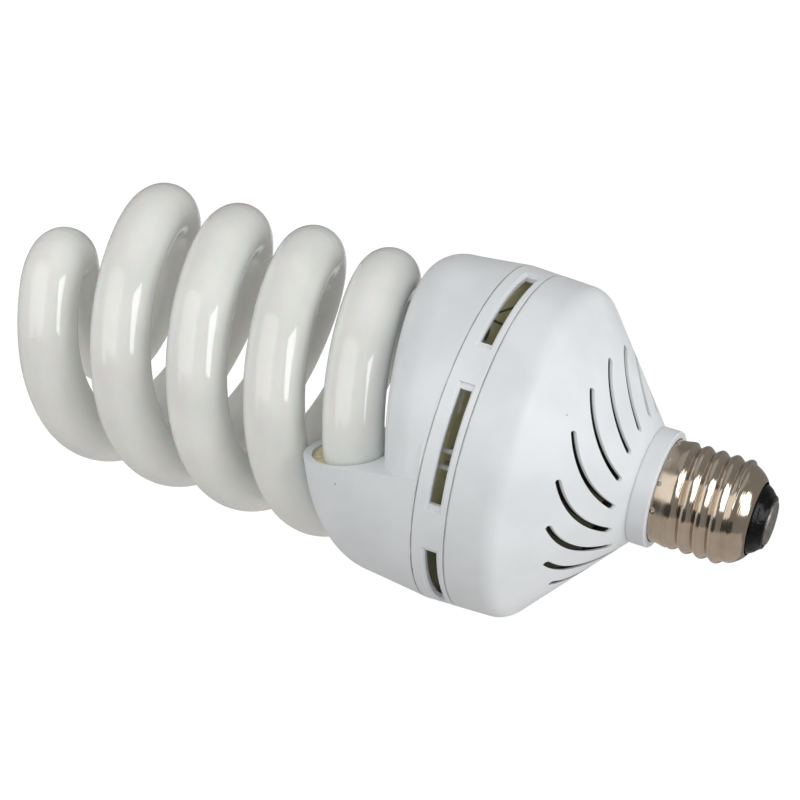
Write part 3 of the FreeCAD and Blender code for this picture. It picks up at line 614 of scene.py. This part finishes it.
for part in frame["record"]["subparts"]:
    if part["material_slot"] in finishes:
        dress(nodes[part["node"]], finishes[part["material_slot"]])
print("materials", len(bpy.data.materials))

# %% [markdown]
# ## The camera
#
# The camera was worked out from the picture: the cap's thread pitch gives the scale, and the circles of
# contact, seams and collar give the direction. It stands 0.57 m in front of the lamp, a little above the
# cap's end, and is rolled on its side, so that the hanging lamp seems to lie. The Standard view shows a
# colour as it is written, where a film-like view would grey the whites.

# %% Camera at the photograph's angle
right = Vector((-0.301042, 0.293857, 0.907208))
above = Vector((-0.953610, -0.095188, -0.285606))
back = Vector((0.002428, -0.951098, 0.308880))
stand = Vector((0.0, -0.568467, 0.088443))
lens = bpy.data.cameras.new("camera")
lens.sensor_width = 36.0
lens.lens = 109.48
lens.clip_start = 0.01
camera = bpy.data.objects.new("camera", lens)
camera.matrix_world = Matrix.Translation(stand) @ Matrix((right, above, back)).transposed().to_4x4()
bpy.context.scene.collection.objects.link(camera)
bpy.context.scene.camera = camera
bpy.context.scene.view_settings.view_transform = "Standard"
print("camera", round(stand.length, 3), "m from the contact, picture angle", round(np.degrees(lens.angle), 1))

# %% [markdown]
# ## The lamps of the studio
#
# A big soft box in front lights the bulb. A second one in the same place is seen by mirrors alone, so that
# the broad faint streak on each loop is brighter than the light on it. A narrow strip beyond the cap gives
# the thin bright streak. Both directions were worked out by reflecting the line of sight at those streaks.
# A warm card where a table would be shows in mirrors alone. Weak lamps fill the cap's end, the top and the
# back.

# %% Lamps
CENTRE = Vector((0.0, 0.0, -0.12))


def soft_box(name, direction, distance, size, radiance, tall=None, diffuse=True, mirrored=True,
             tint=(1, 1, 1)):
    """An area lamp that faces the bulb's middle, upright in the picture.

    It is a disk, or a rectangle where its height is given. Its power is radiance times area times pi.
    """
    data = bpy.data.lights.new(name, "AREA")
    data.shape = "DISK" if tall is None else "RECTANGLE"
    data.size = size
    data.size_y = size if tall is None else tall
    area = np.pi * size ** 2 / 4 if tall is None else size * tall
    data.energy = radiance * area * np.pi
    data.color = tint
    lamp = bpy.data.objects.new(name, data)
    towards = Vector(direction).normalized()
    upright = (above - towards * above.dot(towards)).normalized()
    sideways = upright.cross(towards)
    turned = Matrix((sideways, upright, towards)).transposed().to_4x4()
    lamp.matrix_world = Matrix.Translation(CENTRE + towards * distance) @ turned
    lamp.visible_camera = False
    lamp.visible_diffuse = diffuse
    lamp.visible_glossy = mirrored
    bpy.context.scene.collection.objects.link(lamp)
    print(name, round(data.energy, 2), "W at", distance, "m")


FRONT = (-0.056, -0.913, -0.384)
soft_box("front_box", FRONT, 0.80, 0.94, 0.93, tall=0.94)
soft_box("front_sheen", FRONT, 0.80, 0.94, 2.7, tall=0.94, diffuse=False)
soft_box("strip", (-0.288, -0.341, 0.897), 0.90, 0.46, 3.4, tall=0.57)
soft_box("cap_side", (0.05, 0.15, 1.0), 1.00, 0.80, 1.2, mirrored=False)
soft_box("table_card", (0.95, 0.31, 0.0), 0.50, 1.20, 0.26, tall=2.00, diffuse=False, tint=(1.0, 0.91, 0.85))
soft_box("top_fill", (-1.0, -0.25, 0.1), 0.80, 1.00, 0.24, tint=(0.94, 0.98, 1.0))
soft_box("back_fill", (0.2, 1.0, 0.5), 0.80, 1.00, 0.6, mirrored=False)

# %% [markdown]
# ## The room and the floor
#
# The room's even light fills the shades. The camera sees room and floor white, which sets the background
# without adding light to the bulb, and the floor keeps its shadow. A mirror that saw white all round would
# lose the brown tone of nickel, so mirrors see a dim room and a dim floor, and half the white only where
# the backdrop lies behind the lamp.

# %% How white a ray sees the backdrop
WHITE = (1.0, 1.0, 1.0, 1.0)
RAYS = ("Is Camera Ray", "Is Transmission Ray", "Is Glossy Ray")
BACKGROUND_COURSE = (0.0, 0.951, -0.309)
BEHIND_LAMP = (0.97, 0.995)
WHITE_IN_MIRRORS = 0.5


def behind_lamp(course):
    """How white mirrors see a course from the lamp: half along the backdrop's course, and 0 well off it.

    The dot product of the two courses, each of length 1, is the cosine of the angle between them.
    """
    unit = course.node("ShaderNodeVectorMath", {0: course}, operation="NORMALIZE")
    both = {0: unit, 1: BACKGROUND_COURSE}
    cosine = unit.node("ShaderNodeVectorMath", both, output="Value", operation="DOT_PRODUCT")
    return cosine.band(*BEHIND_LAMP) * WHITE_IN_MIRRORS


def whiteness(course):
    """How white a ray sees the backdrop on a course from the lamp, and whether the ray left a mirror."""
    seen, through, mirrored = [course.node("ShaderNodeLightPath", {}, output=name) for name in RAYS]
    return seen.larger(through).larger(mirrored * behind_lamp(course)), mirrored


# %% Room
ROOM = (0.53, 0.53, 0.52, 1.0)
ROOM_IN_MIRRORS = (0.27, 0.265, 0.26, 1.0)

world = bpy.data.worlds.new("studio")
world.use_nodes = True
bpy.context.scene.world = world
white, mirrored = whiteness(coordinates(world.node_tree, "Generated"))
background = world.node_tree.nodes["Background"]
feed(background, "Color", white.mix(mirrored.mix(ROOM, ROOM_IN_MIRRORS), WHITE))
print("room light", ROOM[:3], "and in mirrors", ROOM_IN_MIRRORS[:3])

# %% Floor
FLOOR_COLOUR = (0.80, 0.80, 0.80, 1.0)
FLOOR_IN_MIRRORS = (0.42, 0.41, 0.40, 1.0)
FLOOR_GLOW = 1.1
FLOOR_WHITE = 0.9                               # the glow's share; the rest is matt and takes the shadow
FLOOR_Z = -0.95
FLOOR_HALF = 12.0
SQUARE = ((-1, -1), (1, -1), (1, 1), (-1, 1))


def floor_material():
    """Pale matt floor that glows white where the backdrop is to look white, less a tenth for the shadow."""
    material, shader, place = new_material("floor", Roughness=0.8)
    white, mirrored = whiteness(place)
    feed(shader, "Base Color", mirrored.mix(FLOOR_COLOUR, FLOOR_IN_MIRRORS))
    matt = Value(place.tree, shader.outputs[0])
    glow = place.node("ShaderNodeEmission", {"Strength": FLOOR_GLOW})
    blend = place.node("ShaderNodeMixShader", {0: white * FLOOR_WHITE, 1: matt, 2: glow})
    feed(place.tree.nodes["Material Output"], "Surface", blend)
    return material


def flat_sheet(name, corners, material):
    """One face through four corners in metres, in its material."""
    mesh = bpy.data.meshes.new(name)
    mesh.from_pydata(corners, [], [(0, 1, 2, 3)])
    mesh.materials.append(material)
    sheet = bpy.data.objects.new(name, mesh)
    bpy.context.scene.collection.objects.link(sheet)
    first, opposite = [[round(part, 2) for part in corners[number]] for number in (0, 2)]
    print(name, "in metres, from", first, "to", opposite)
    return sheet


floor = flat_sheet("floor", [(x * FLOOR_HALF, y * FLOOR_HALF, FLOOR_Z) for x, y in SQUARE], floor_material())

# %% [markdown]
# ## The black card
#
# A photographer gives shiny metal a dark edge with a black card beside the camera. This one stands upright
# before the cap and only mirrors see it, so it darkens a band of the nickel and shades nothing.

# %% Black card for the dark band on the cap
CARD_COLOUR = (0.06, 0.06, 0.06, 1.0)
CARD_TURN = np.radians(40.0)
CARD_DISTANCE = 0.45
CARD_Z = -0.018
CARD_HALF_WIDTH = 0.12
CARD_HALF_LENGTH = 0.35

towards_card = np.array([np.sin(CARD_TURN), -np.cos(CARD_TURN), 0.0])
card_centre = np.array([0.0, 0.0, CARD_Z]) + CARD_DISTANCE * towards_card
card_across = CARD_HALF_WIDTH * np.array([np.cos(CARD_TURN), np.sin(CARD_TURN), 0.0])
card_along = np.array([0.0, 0.0, CARD_HALF_LENGTH])
card_corners = [(card_centre + x * card_across + y * card_along).tolist() for x, y in SQUARE]
card_material = new_material("black_card", Roughness=1.0, Base_Color=CARD_COLOUR)[0]
black_card = flat_sheet("black_card", card_corners, card_material)
black_card.visible_camera = False
black_card.visible_diffuse = False
black_card.visible_shadow = False
black_card.visible_transmission = False
